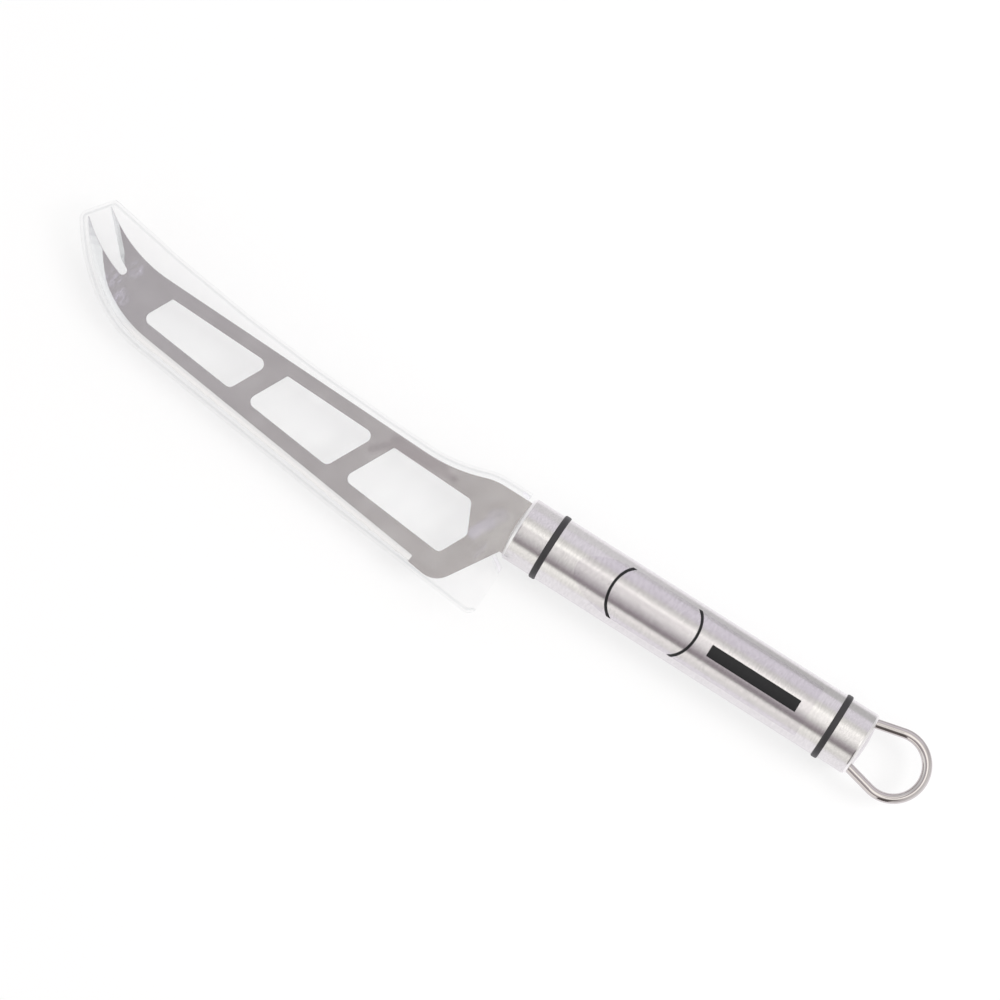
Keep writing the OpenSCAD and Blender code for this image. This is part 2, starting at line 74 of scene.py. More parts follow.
# Dim patch above the blade: its colour, how far along the knife it begins and is full, and the angles over
# which it fades in on the spine's side and on the cutting edge's side
PATCH_COLOUR = (0.565, 0.535, 0.555)
PATCH_LEAN = (0.004, -0.030)
PATCH_SPINE_SIDE = (-22, -10)
PATCH_EDGE_SIDE = (40, 28)
# Plain light past the fork and past the loop, and how far along the knife each begins and is full
PLAIN_ENDS = [
    ((0.80, 0.80, 0.82), (-0.30, -0.60)),
    ((0.72, 0.70, 0.71), (0.32, 0.58)),
    ((0.92, 0.91, 0.90), (0.60, 0.85)),
]
# Dark gap low on the cutting edge's side and past the loop, which shows in the loop: its colour, the angles
# over which it begins and ends, and how far along the knife it begins and ends
GAP_COLOUR = (0.15, 0.135, 0.13)
GAP_TOP = (18, 34)
GAP_LOW = (102, 86)
GAP_BEGINS = (0.08, 0.15)
GAP_ENDS = (0.50, 0.38)
# Soft bright spot low on the fork's side, which shows in the tines' bevels: its direction, colour, and how
# near to that direction it begins and is full
SPOT_WAY = Vector((-0.71, -0.58, 0.38)).normalized()
SPOT_COLOUR = (1.17, 1.18, 1.16)
SPOT_NEAR = (0.86, 0.96)

# Lamp that casts the shadow: where it hangs, how wide it is each way, and its power
LAMP_PLACE = Vector((0.95, 0.45, 1.05))
LAMP_WIDTH = 0.55
LAMP_POWER = 10.3

# Floor: what the picture shows of its own white and how much of the shadows, straight and in reflections
FLOOR_SIZE = 8.0
FLOOR_COLOUR = (0.85, 0.85, 0.85, 1.0)
FLOOR_WHITE = (1.0, 1.0, 1.0, 1.0)
FLOOR_GLOW = 0.70
FLOOR_SHADE = 0.27
MIRRORED_WHITE = (1.0, 0.965, 1.025, 1.0)
MIRRORED_SHADE = 0.42
# Glow of the floor in reflections: near the knife, and beyond its spine's side by the front cap and by the
# loop, and how far from the tube it begins to dim and is dimmest
MIRRORED_NEAR = 0.58
MIRRORED_SPINE_SIDE = (0.32, 0.09)
MIRRORED_DIMS = (8 * MM, 21 * MM)


# Node helpers

def put(tree, kind, inputs=None, **settings):
    """Adds a node, with its settings, and its inputs linked to sockets or set to values."""
    made = tree.nodes.new(kind)
    for name, value in settings.items():
        setattr(made, name, value)
    for name, value in (inputs or {}).items():
        if isinstance(value, bpy.types.NodeSocket):
            tree.links.new(value, made.inputs[name])
        else:
            made.inputs[name].default_value = value
    return made


def calc(tree, operation, a, b=0.0):
    """The output of a math node."""
    return put(tree, "ShaderNodeMath", {0: a, 1: b}, operation=operation).outputs[0]


def spread(tree, value, low, high):
    """A value from 0 to 1 spread over a range."""
    return put(tree, "ShaderNodeMapRange", {"Value": value, "To Min": low, "To Max": high}).outputs[0]


def share_of(tree, value, low, high):
    """A value's place in a range, from 0 to 1."""
    return put(tree, "ShaderNodeMapRange", {"Value": value, "From Min": low, "From Max": high}).outputs[0]


def step_between(tree, value, ends):
    """An S-shaped rise from 0 at the first end to 1 at the second."""
    inputs = {"Value": value, "From Min": ends[0], "From Max": ends[1]}
    return put(tree, "ShaderNodeMapRange", inputs, interpolation_type="SMOOTHSTEP").outputs[0]


# Numbers of a mix node's sockets for its two colours and for the blend of them
MIX_COLOUR_A = 6
MIX_COLOUR_B = 7
MIX_BLEND = 2


def blend_colours(tree, factor, a, b):
    """A colour between a and b."""
    inputs = {0: factor}
    for number, colour in ((MIX_COLOUR_A, a), (MIX_COLOUR_B, b)):
        inputs[number] = colour if isinstance(colour, bpy.types.NodeSocket) else (*colour, 1.0)
    return put(tree, "ShaderNodeMix", inputs, data_type="RGBA").outputs[MIX_BLEND]


def parts_of(tree, vector):
    """A vector's parts, as sockets named X, Y and Z."""
    return put(tree, "ShaderNodeSeparateXYZ", {0: vector}).outputs


def own_place(tree):
    """The place on the piece, in its own coordinates."""
    return put(tree, "ShaderNodeTexCoord").outputs["Object"]


def own_facing(tree):
    """The way that the surface faces, in the piece's own coordinates."""
    return put(tree, "ShaderNodeTexCoord").outputs["Normal"]


def grain(tree, scale, detail=3.0, roughness=0.55):
    """Noise from 0 to 1 on the piece's own coordinates, with a scale per metre along each axis."""
    stretched = put(tree, "ShaderNodeMapping", {"Vector": own_place(tree), "Scale": scale}).outputs[0]
    inputs = {"Vector": stretched, "Scale": 1.0, "Detail": detail, "Roughness": roughness}
    return put(tree, "ShaderNodeTexNoise", inputs).outputs[0]


def bump(tree, height, depth):
    """A normal from a height of 0 to 1 that stands for a depth in metres."""
    return put(tree, "ShaderNodeBump", {"Height": height, "Distance": depth, "Strength": 1.0}).outputs[0]


def marked(tree, name):
    """A value that the mesh carries at its points."""
    return put(tree, "ShaderNodeAttribute", attribute_name=name).outputs["Fac"]


def new_material(name):
    """A material with an empty node tree."""
    made = bpy.data.materials.new(name)
    made.use_nodes = True
    made.node_tree.nodes.clear()
    return made, made.node_tree


def show(tree, shader):
    """Links a shader to the material's output."""
    put(tree, "ShaderNodeOutputMaterial", {"Surface": shader.outputs[0]})


# Materials. A scale of noise counts per metre along the knife, across it and upwards

# Satin steel: the strokes per metre, how sharply they stand out, their share in the mottle, the scales of
# its clouds and dents, how far the roughness varies, and how deep the dents are
STROKES_PER_M = 3200
STROKE_CONTRAST = (0.34, 0.66)
STROKE_SHARE = 0.65
SATIN_CLOUDS = (260, 60, 60)
SATIN_DENTS = (2400, 900, 900)
SATIN_VARIES = (-0.03, 0.05)
DENT_DEPTH = 0.0015 * MM
# Rounded edges of the caps, with a painted highlight: how far their faces lean along the handle where it
# begins, and towards the loop where it ends, the highlight's colour, and how much less glossy the edges are
RIM_HIGHLIGHT_BEGINS = (0.22, 0.50)
RIM_HIGHLIGHT_ENDS = (0.98, 0.86)
RIM_HIGHLIGHT_COLOUR = (0.96, 0.95, 0.94)
RIM_DULLER = 0.22


def turned_steel(name, dark, pale, roughness, stretch):
    """Satin steel with fine strokes that run round the handle, and a painted highlight where its edges are
    rounded.
    """
    made, tree = new_material(name)
    to_loop = parts_of(tree, own_facing(tree))["X"]
    # Painted highlight: paler colour on rounded edges whose faces lean along the handle, but not on faces
    # squarely towards the loop
    rim = calc(tree, "MULTIPLY", step_between(tree, calc(tree, "ABSOLUTE", to_loop), RIM_HIGHLIGHT_BEGINS),
               step_between(tree, to_loop, RIM_HIGHLIGHT_ENDS))
    across = STROKES_PER_M / stretch
    fine = grain(tree, (STROKES_PER_M, across, across), detail=4, roughness=0.65)
    strokes = step_between(tree, fine, STROKE_CONTRAST)
    clouds = grain(tree, SATIN_CLOUDS, detail=2)
    mottle = calc(tree, "ADD", calc(tree, "MULTIPLY", strokes, STROKE_SHARE),
                  calc(tree, "MULTIPLY", clouds, 1 - STROKE_SHARE))
    satin = spread(tree, clouds, *(roughness + change for change in SATIN_VARIES))
    round_axis = put(tree, "ShaderNodeTangent", direction_type="RADIAL", axis="X").outputs[0]
    show(tree, put(tree, "ShaderNodeBsdfPrincipled", {
        "Base Color": blend_colours(tree, rim, blend_colours(tree, mottle, dark, pale), RIM_HIGHLIGHT_COLOUR),
        "Metallic": 1.0,
        "Roughness": calc(tree, "ADD", satin, calc(tree, "MULTIPLY", rim, RIM_DULLER)),
        "Anisotropic": 0.5,
        "Anisotropic Rotation": 0.25,
        "Tangent": round_axis,
        "Normal": bump(tree, grain(tree, SATIN_DENTS, detail=2), DENT_DEPTH),
    }))
    return made


# Blade: its colours at the fork and at the heel, a painted reflection that turns darker and warmer towards
# the heel, the range of its roughness, the scale of its polishing lines and their depth, the scale of its
# clouds, and how much of a worn colour they show
BLADE_TIP_COLOUR = (0.655, 0.65, 0.655)
BLADE_HEEL_COLOUR = (0.59, 0.572, 0.538)
BLADE_ROUGHNESS = (0.10, 0.19)
BLADE_LINES = (40, 1600, 1600)
LINE_DEPTH = 0.0006 * MM
BLADE_CLOUDS = (70, 110, 110)
WORN_SHARE = 0.2
WORN_COLOUR = (0.80, 0.80, 0.82)
# Ground bevels and cut sides of the blade: how level their faces are at most, where a flat face has 1,
# their colours, which paint a highlight on the bevels and shade on the cut sides, and how much less glossy
# the cut sides are
GROUND_LEVEL = 0.993
GROUND_HIGHLIGHT_COLOUR = (0.77, 0.77, 0.785)
CUT_LEVEL = 0.3
CUT_SHADE_COLOUR = (0.30, 0.29, 0.30)
CUT_DULLER = 0.3


def polished_steel(name):
    """Steel with faint polishing lines along the blade, a painted highlight on ground bevels, and painted
    shade and a duller finish on cut sides.
    """
    made, tree = new_material(name)
    clouds = grain(tree, BLADE_CLOUDS, detail=3)
    low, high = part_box("blade")
    to_heel = share_of(tree, parts_of(tree, own_place(tree))["X"], low.x, high.x)
    # Painted reflection: the colour turns darker and warmer from the fork to the heel
    colour = blend_colours(tree, to_heel, BLADE_TIP_COLOUR, BLADE_HEEL_COLOUR)
    worn = blend_colours(tree, spread(tree, clouds, 0.0, WORN_SHARE), colour, WORN_COLOUR)
    level = calc(tree, "ABSOLUTE", parts_of(tree, own_facing(tree))["Z"])
    ground = calc(tree, "LESS_THAN", level, GROUND_LEVEL)
    cut = calc(tree, "LESS_THAN", level, CUT_LEVEL)
    # The bevels' paler colour is a painted highlight, and the cut sides' dark colour is painted shade
    bevel_highlighted = blend_colours(tree, ground, worn, GROUND_HIGHLIGHT_COLOUR)
    show(tree, put(tree, "ShaderNodeBsdfPrincipled", {
        "Base Color": blend_colours(tree, cut, bevel_highlighted, CUT_SHADE_COLOUR),
        "Metallic": 1.0,
        "Roughness": calc(tree, "ADD", spread(tree, clouds, *BLADE_ROUGHNESS),
                          calc(tree, "MULTIPLY", cut, CUT_DULLER)),
        "Normal": bump(tree, grain(tree, BLADE_LINES, detail=3), LINE_DEPTH),
    }))
    return made


def grainy(name, per_metre, detail, dark, pale, roughness, depth, metallic=0.0):
    """A material whose colour, gloss and surface vary with one fine grain."""
    made, tree = new_material(name)
    specks = grain(tree, (per_metre, per_metre, per_metre), detail=detail)
    show(tree, put(tree, "ShaderNodeBsdfPrincipled", {
        "Base Color": blend_colours(tree, specks, dark, pale),
        "Metallic": metallic,
        "Roughness": spread(tree, specks, *roughness),
        "Normal": bump(tree, specks, depth),
    }))
    return made


def wire_steel(name):
    """Polished wire of the loop."""
    return grainy(name, per_metre=300, detail=3, dark=(0.55, 0.52, 0.51), pale=(0.63, 0.60, 0.59),
                  roughness=(0.05, 0.11), depth=0.002 * MM, metallic=1.0)


def black_rubber(name):
    """Black rings, a little glossy."""
    return grainy(name, per_metre=2500, detail=4, dark=(0.018, 0.017, 0.019), pale=(0.034, 0.032, 0.035),
                  roughness=(0.38, 0.55), depth=0.01 * MM)


def cast_resin(name):
    """The filling inside the handle."""
    return grainy(name, per_metre=500, detail=3, dark=(0.74, 0.70, 0.60), pale=(0.84, 0.80, 0.71),
                  roughness=(0.45, 0.65), depth=0.02 * MM)


# Clear film: how it bends light, the colours of its milk, which on the sleeve is a painted highlight, and of
# its shine, its ripples and their depth
FILM_IOR = 1.5
MILK_AND_HIGHLIGHT_COLOUR = (0.83, 0.80, 0.92, 1.0)
SHINE_COLOUR = (0.92, 0.92, 0.94, 1.0)
FILM_RIPPLES = (180, 420, 420)
RIPPLE_DEPTH = 0.02 * MM


def film_shader(tree, clear_colour, shine, haze_and_highlight, roughness):
    """Clear film: lets light through, is milky where it is hazy or carries a painted highlight, and reflects
    where light comes in.
    """
    outside = calc(tree, "SUBTRACT", 1.0, put(tree, "ShaderNodeNewGeometry").outputs["Backfacing"])
    slant = put(tree, "ShaderNodeFresnel", {"IOR": FILM_IOR}).outputs[0]
    gloss = calc(tree, "MULTIPLY", calc(tree, "MULTIPLY", slant, shine), outside)
    clear = put(tree, "ShaderNodeBsdfTransparent", {"Color": clear_colour}).outputs[0]
    # Milk: a diffuse haze, which is dust on the label and a painted highlight on the sleeve
    milk_and_highlight = put(tree, "ShaderNodeBsdfDiffuse", {"Color": MILK_AND_HIGHLIGHT_COLOUR}).outputs[0]
    body = put(tree, "ShaderNodeMixShader", {0: calc(tree, "MULTIPLY", haze_and_highlight, outside), 1: clear, 2: milk_and_highlight})
    skin = put(tree, "ShaderNodeBsdfPrincipled", {
        "Base Color": SHINE_COLOUR,
        "Metallic": 1.0,
        "Roughness": roughness,
        "Normal": bump(tree, grain(tree, FILM_RIPPLES, detail=2), RIPPLE_DEPTH),
    })
    return put(tree, "ShaderNodeMixShader", {0: gloss, 1: body.outputs[0], 2: skin.outputs[0]})


def clear_tint(tree, tint, steep_tint):
    """The colour of light that comes through a film, from where it is seen flat to where it is steep."""
    steep = put(tree, "ShaderNodeLayerWeight", {"Blend": 0.5}).outputs["Facing"]
    return blend_colours(tree, steep, tint, steep_tint)


# Sleeve's film: its tints, its shine and roughness, how strong its milky painted highlight is on a fold and
# on a crinkle spot, the scale of the crinkle highlights' grain and how sharply it stands out, and the tint
# and amount of its painted shade streaks
SLEEVE_TINT = (0.998, 0.998, 0.998)
SLEEVE_STEEP_TINT = (0.93, 0.935, 0.935)
SLEEVE_SHINE = 1.3
SLEEVE_ROUGHNESS = 0.16
FOLD_HIGHLIGHT_LEVEL = 0.28
CRINKLE_HIGHLIGHT_LEVEL = 0.34
CRINKLE_HIGHLIGHT_GRAIN = (900, 380, 380)
CRINKLE_HIGHLIGHT_CONTRAST = (0.36, 0.76)
STREAK_SHADE_TINT = (0.74, 0.69, 0.72)
STREAK_SHADE_AMOUNT = 0.16


def sleeve_film(name):
    """Clear soft film of the sleeve, with a milky painted highlight along its folds and at crinkle spots,
    and painted shade streaks.
    """
    made, tree = new_material(name)
    # Painted highlights: milky specks where the mesh marks crinkle spots, and a milky haze along the folds
    sparks = step_between(tree, grain(tree, CRINKLE_HIGHLIGHT_GRAIN, detail=3, roughness=0.6), CRINKLE_HIGHLIGHT_CONTRAST)
    crinkle_highlight = calc(tree, "MULTIPLY", marked(tree, "crinkle_highlight"), sparks)
    haze_and_highlight = calc(tree, "ADD", calc(tree, "MULTIPLY", marked(tree, "fold_highlight"), FOLD_HIGHLIGHT_LEVEL),
                calc(tree, "MULTIPLY", crinkle_highlight, CRINKLE_HIGHLIGHT_LEVEL))
    # Painted shade: a darker tint along the streaks that the mesh marks
    shade = calc(tree, "MULTIPLY", marked(tree, "painted_shade"), STREAK_SHADE_AMOUNT)
    tint = blend_colours(tree, shade, clear_tint(tree, SLEEVE_TINT, SLEEVE_STEEP_TINT), STREAK_SHADE_TINT)
    show(tree, film_shader(tree, tint, SLEEVE_SHINE, haze_and_highlight, SLEEVE_ROUGHNESS))
    return made


# Label's film: its tints, its shine and roughness, and its dust, which is a faint haze
LABEL_TINT = (0.984, 0.980, 0.985)
LABEL_STEEP_TINT = (0.97, 0.965, 0.975)
LABEL_SHINE = 1.0
LABEL_ROUGHNESS = 0.12
LABEL_DUST = (120, 260, 260)
LABEL_DUST_HAZE = 0.02
# Marks printed on the label: a ring and a bar, by their middles along the handle and round it, and the ink
RING_X = tube_low.x + 33.0 * MM
RING_Y = 0.5 * MM
RING_R = 13.6 * MM
RING_LINE = 0.8 * MM
BAR_X = tube_low.x + 66.0 * MM
BAR_Y = -0.4 * MM
BAR_LENGTH = 28.8 * MM
BAR_WIDTH = 3.6 * MM
INK_GRAIN = (1500, 1500, 1500)
INK_DARK = (0.010, 0.010, 0.011)
INK_PALE = (0.018, 0.018, 0.019)


def within(tree, value, middle, reach):
    """1 where a value lies within a reach of a middle, otherwise 0."""
    off = calc(tree, "ABSOLUTE", calc(tree, "SUBTRACT", value, middle))
    return calc(tree, "LESS_THAN", off, reach)


def printed_marks(tree):
    """1 on the label's printed ring and bar, otherwise 0."""
    xyz = parts_of(tree, own_place(tree))
    side = calc(tree, "SUBTRACT", xyz["Y"], AXIS.y)
    rise = calc(tree, "SUBTRACT", xyz["Z"], AXIS.z)
    across = calc(tree, "MULTIPLY", calc(tree, "ARCTAN2", side, rise), TUBE_R)
    from_ring = put(tree, "ShaderNodeCombineXYZ", {
        0: calc(tree, "SUBTRACT", xyz["X"], RING_X),
        1: calc(tree, "SUBTRACT", across, RING_Y),
    }).outputs[0]
    radius = put(tree, "ShaderNodeVectorMath", {0: from_ring}, operation="LENGTH").outputs["Value"]
    ring = within(tree, radius, RING_R, RING_LINE / 2)
    bar = calc(tree, "MULTIPLY", within(tree, xyz["X"], BAR_X, BAR_LENGTH / 2),
               within(tree, across, BAR_Y, BAR_WIDTH / 2))
    return calc(tree, "MAXIMUM", ring, bar)


def label_film(name):
    """Clear film on the handle, with a plain printed ring and bar."""
    made, tree = new_material(name)
    dust = spread(tree, grain(tree, LABEL_DUST, detail=4), 0.0, LABEL_DUST_HAZE)
    tint = clear_tint(tree, LABEL_TINT, LABEL_STEEP_TINT)
    film = film_shader(tree, tint, LABEL_SHINE, dust, LABEL_ROUGHNESS)
    ink = put(tree, "ShaderNodeBsdfPrincipled", {
        "Base Color": blend_colours(tree, grain(tree, INK_GRAIN, detail=2), INK_DARK, INK_PALE),
        "Roughness": 0.35,
        "Specular IOR Level": 0.25,
    })
    printed = printed_marks(tree)
    show(tree, put(tree, "ShaderNodeMixShader", {0: printed, 1: film.outputs[0], 2: ink.outputs[0]}))
    return made


def finish_nodes():
    """Gives each solid that stays in sight, or inside the handle, its finish."""
    cap = turned_steel("cap_finish", dark=(0.65, 0.638, 0.636), pale=(0.78, 0.768, 0.765),
                       roughness=0.22, stretch=3)
    tube = turned_steel("tube_finish", dark=(0.66, 0.648, 0.646), pale=(0.79, 0.778, 0.775),
                        roughness=0.20, stretch=7)
    ring = black_rubber("ring_finish")
    core = cast_resin("core_finish")
    finishes = {
        "blade": polished_steel("blade_finish"),
        "front_cap": cap,
        "rear_cap": cap,
        "handle_tube": tube,
        "front_ring": ring,
        "rear_ring": ring,
        "hanging_loop": wire_steel("loop_finish"),
        "tang_core": core,
        "loop_plug": core,
        "label_film": label_film("label_finish"),
    }
    for name, finish in finishes.items():
        mesh = nodes[name].data
        mesh.materials.clear()
        mesh.materials.append(finish)


# Sleeve

# How many points its films have along and across, and how much closer these lie at the ends
SLEEVE_ALONG = 240
SLEEVE_ACROSS = 64
CLOSER_ALONG = 0.75
CLOSER_ACROSS = 0.9
# Film's thickness, and how far it stands from the blade's middle plane
FILM_T = 0.10 * MM
FILM_RISE = 1.15 * MM
# The sealed lip round the sleeve, and the slope from it up to the film
EDGE_RISE = 0.06 * MM
EDGE_WIDTH = 0.25 * MM
LIP_RISE = 0.16 * MM
LIP_WIDTH = 0.6 * MM
SLOPE_WIDTH = 0.95 * MM
# How far from the rim the film begins to wave and waves fully
LOOSE_FROM = 2.0 * MM
LOOSE_FULL = 5.0 * MM
# Long and short waves: their heights, how fast each turns along x and y, in radians per mm, and its start
LONG_WAVE = 0.10 * MM
LONG_WAVE_TURNS = ((0.21, 0.5, 0.0), (-0.11, 0.33, 0.0))
SHORT_WAVE = 0.06 * MM
SHORT_WAVE_TURNS = (0.47, -0.35, 1.3)
# Ways in which the sleeve's four corners lie farthest out
TIP_TOP_WAY = (-0.5, 1.0)
TIP_LOW_WAY = (-1.0, -0.15)
MOUTH_LOW_WAY = (1.0, -1.0)
MOUTH_TOP_WAY = (1.0, 0.6)
# Folds in the film: the way of each, half its width and its height, in mm, and how strong its milky painted
# highlight is
FOLDS = [
    (((-1.5, -2.6), (-0.5, -0.1), (1.2, 2.2)), 1.5, 0.20, 1.0),
    (((0.9, 4.0), (2.6, 5.6)), 1.9, 0.20, 0.5),
    (((2.4, -8.0), (3.2, -3.5)), 0.4, 0.20, 0.5),
    (((7.2, -5.2), (10.2, -7.3)), 0.5, 0.40, 1.0),
    (((4.6, 14.3), (7.0, 13.6)), 0.5, 0.40, 1.0),
]
# Streaks of painted shade, a painted dark reflection, in the film near the last window: the way of each, and
# half its width, in mm
SHADE_STREAKS = [
    (((-38.0, 2.0), (-33.5, 6.1), (-27.2, 6.4), (-20.3, 6.9), (-14.0, 7.3)), 1.0),
    (((-33.0, 7.4), (-27.2, 7.2), (-18.0, 7.6)), 1.8),
]
# Spots of painted highlight specks beside the fork's slot: middle and reach, in mm
CRINKLE_HIGHLIGHT_SPOTS = [((-124.4, 3.8), 3.4), ((-119.7, 0.5), 3.2), ((-120.3, 9.0), 3.0)]
# How far out each of these is full and has faded away, counted in half widths or reaches
LIFT_FADES = (0.0, 2.0)
FOLD_HIGHLIGHT_FADES = (7 / 12, 17 / 12)
SHADE_STREAK_FADES = (0.5, 1.5)
CRINKLE_HIGHLIGHT_FADES = (0.5, 1.0)

# Limits: points this close are one, a face whose normal rises more than this is an upper one, and the
# square of a length counts as at least this much
SAME_POINT = 1e-6
LOOKS_UP = 0.9
LEAST_SQUARE = 1e-18


def outline_of(node_name):
    """The outline of a flat solid's upper face, in order, as a numpy array of x and y."""
    shape = bmesh.new()
    shape.from_mesh(nodes[node_name].data)
    bmesh.ops.remove_doubles(shape, verts=shape.verts[:], dist=SAME_POINT)
    shape.normal_update()
    upper = {face for face in shape.faces if face.normal.z > LOOKS_UP}
    rim = [edge for edge in shape.edges if sum(face in upper for face in edge.link_faces) == 1]
    follows = {}
    for edge in rim:
        a, b = edge.verts
        follows.setdefault(a, []).append(b)
        follows.setdefault(b, []).append(a)
    start = rim[0].verts[0]
    path = [start, follows[start][0]]
    while True:
        ahead = [vert for vert in follows[path[-1]] if vert is not path[-2]]
        if start in ahead:
            break
        path.append(ahead[0])
    points = np.array([vert.co[:2] for vert in path])
    shape.free()
    return points


def stretch_between(points, first, second):
    """The part of a closed outline from one index to another, going forwards."""
    count = len(points)
    steps = (second - first) % count
    return np.array([points[(first + k) % count] for k in range(steps + 1)])


def along_path(points, shares):
    """Points at some shares of a path's length."""
    lengths = np.concatenate([[0], np.cumsum(np.linalg.norm(np.diff(points, axis=0), axis=1))])
    return np.stack([np.interp(shares * lengths[-1], lengths, points[:, k]) for k in range(2)], axis=1)


def close_at_ends(count, closeness):
    """Shares from 0 to 1 that lie closer together near both ends."""
    even = np.linspace(0, 1, count)
    return even - closeness * np.sin(2 * np.pi * even) / (2 * np.pi)


def distance_to_path(places, path):
    """The distance of each place to a path of straight pieces."""
    best = np.full(len(places), np.inf)
    for a, b in zip(path[:-1], path[1:]):
        way = b - a
        share = np.clip(((places - a) @ way) / max(way @ way, LEAST_SQUARE), 0, 1)
        best = np.minimum(best, np.linalg.norm(places - a - share[:, None] * way, axis=1))
    return best


def smooth_step(value):
    """An S-shaped rise from 0 to 1."""
    value = np.clip(value, 0, 1)
    return value * value * (3 - 2 * value)


def fade(off, ends):
    """An S-shaped fall from 1 at the first end to 0 at the second."""
    full, gone = ends
    return smooth_step((gone - off) / (gone - full))


def sleeve_sheet():
    """Places on the sleeve, in rows from the fork to the mouth, and how far each is from the sealed rim."""
    outline = outline_of("sleeve_upper_film")
    ahead = np.roll(outline, -1, axis=0)
    if (outline[:, 0] * ahead[:, 1] - outline[:, 1] * ahead[:, 0]).sum() < 0:
        outline = outline[::-1]
    tip_top, tip_low, mouth_low, mouth_top = (
        int(np.argmax(outline @ way)) for way in (TIP_TOP_WAY, TIP_LOW_WAY, MOUTH_LOW_WAY, MOUTH_TOP_WAY))
    left = stretch_between(outline, tip_top, tip_low)
    low = stretch_between(outline, tip_low, mouth_low)
    right = stretch_between(outline, mouth_low, mouth_top)[::-1]
    top = stretch_between(outline, mouth_top, tip_top)[::-1]
    rim = np.concatenate([top[::-1], left, low])
    down = close_at_ends(SLEEVE_ALONG, CLOSER_ALONG)
    across = close_at_ends(SLEEVE_ACROSS, CLOSER_ACROSS)
    u, v = down[:, None, None], across[None, :, None]
    top, low = (along_path(side, down)[:, None, :] for side in (top, low))
    left, right = (along_path(side, across)[None, :, :] for side in (left, right))
    corners = ((1 - u) * (1 - v) * top[0, 0] + u * (1 - v) * top[-1, 0]
               + (1 - u) * v * low[0, 0] + u * v * low[-1, 0])
    sheet = (1 - v) * top + v * low + (1 - u) * left + u * right - corners
    places = sheet.reshape(-1, 2)
    return places, distance_to_path(places, rim)


def waves_at(places):
    """How high the film's waves are at each place."""
    x, y = places.T / MM

    def wave(turns):
        along_x, along_y, start = turns
        return np.sin(along_x * x + along_y * y + start)

    first, second = LONG_WAVE_TURNS
    return LONG_WAVE * wave(first) * wave(second) + SHORT_WAVE * wave(SHORT_WAVE_TURNS)


def folds_at(places):
    """How high the folds lift the film at each place, and how much painted highlight along folds and at
    crinkle spots, and painted shade along streaks, it carries there.
    """
    lift, fold_highlight, painted_shade, crinkle_highlight = np.zeros((4, len(places)))
    for way, half_width, height, fold_highlight_strength in FOLDS:
        off = distance_to_path(places, np.array(way) * MM) / (half_width * MM)
        lift += height * MM * fade(off, LIFT_FADES)
        # Painted highlight of each fold
        fold_highlight = np.maximum(fold_highlight, fold_highlight_strength * fade(off, FOLD_HIGHLIGHT_FADES))
    # Painted shade along each streak
    for way, half_width in SHADE_STREAKS:
        off = distance_to_path(places, np.array(way) * MM) / (half_width * MM)
        painted_shade = np.maximum(painted_shade, fade(off, SHADE_STREAK_FADES))
    # Painted highlight specks in each spot
    for middle, reach in CRINKLE_HIGHLIGHT_SPOTS:
        off = np.linalg.norm(places - np.array(middle) * MM, axis=1) / (reach * MM)
        crinkle_highlight = np.maximum(crinkle_highlight, fade(off, CRINKLE_HIGHLIGHT_FADES))
    return lift, {"fold_highlight": fold_highlight, "painted_shade": painted_shade, "crinkle_highlight": crinkle_highlight}


def film_rise(places, inset, lift):
    """How far the upper film stands from the blade's middle plane at each place."""
    lip = (LIP_RISE - EDGE_RISE) * smooth_step(inset / EDGE_WIDTH)
    slope = (FILM_RISE - LIP_RISE) * smooth_step((inset - LIP_WIDTH) / SLOPE_WIDTH)
    loose = smooth_step((inset - LOOSE_FROM) / (LOOSE_FULL - LOOSE_FROM))
    return EDGE_RISE + lip + slope + (waves_at(places) + lift) * loose


def sew_films(shape, upper, lower):
    """Smooth faces between the points of each film, and along the sealed rim from one film to the other."""
    for verts, order in ((upper, 1), (lower, -1)):
        for i in range(SLEEVE_ALONG - 1):
            for k in range(SLEEVE_ACROSS - 1):
                a = i * SLEEVE_ACROSS + k
                b = a + SLEEVE_ACROSS
                face = [verts[a], verts[a + 1], verts[b + 1], verts[b]]
                shape.faces.new(face[::order])
    rows = [i * SLEEVE_ACROSS for i in range(SLEEVE_ALONG)]
    rim = rows[::-1] + list(range(1, SLEEVE_ACROSS)) + [row + SLEEVE_ACROSS - 1 for row in rows[1:]]
    for a, b in zip(rim[:-1], rim[1:]):
        shape.faces.new((upper[a], upper[b], lower[b], lower[a]))
    bmesh.ops.recalc_face_normals(shape, faces=shape.faces[:])
    for face in shape.faces:
        face.smooth = True


def pouch_mesh(name):
    """The sleeve's two films, which meet in a narrow sealed lip and are open at the mouth."""
    places, inset = sleeve_sheet()
    lift, marks = folds_at(places)
    rise = film_rise(places, inset, lift)
    shape = bmesh.new()
    films = []
    for side in (1, -1):
        films.append([shape.verts.new((x, y, AXIS.z + side * z)) for (x, y), z in zip(places, rise)])
    sew_films(shape, *films)
    mesh = bpy.data.meshes.new(name)
    shape.to_mesh(mesh)
    shape.free()
    for mark, on_upper in marks.items():
        carried = mesh.attributes.new(mark, "FLOAT", "POINT")
        carried.data.foreach_set("value", np.concatenate([on_upper, 0 * on_upper]).astype(np.float32))
    return mesh


def make_sleeve():
    """The clear sleeve, which stands for its three solids."""
    mesh = pouch_mesh("blade_sleeve_pouch")
    mesh.materials.append(sleeve_film("sleeve_finish"))
    pouch = bpy.data.objects.new("blade_sleeve_pouch", mesh)
    bpy.context.scene.collection.objects.link(pouch)
    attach(pouch, "blade_sleeve")
    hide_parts("sleeve_upper_film", "sleeve_lower_film", "sleeve_seam")
    wall = pouch.modifiers.new("film", "SOLIDIFY")
    wall.thickness = FILM_T
    wall.offset = -1.0


# Light, floor and camera

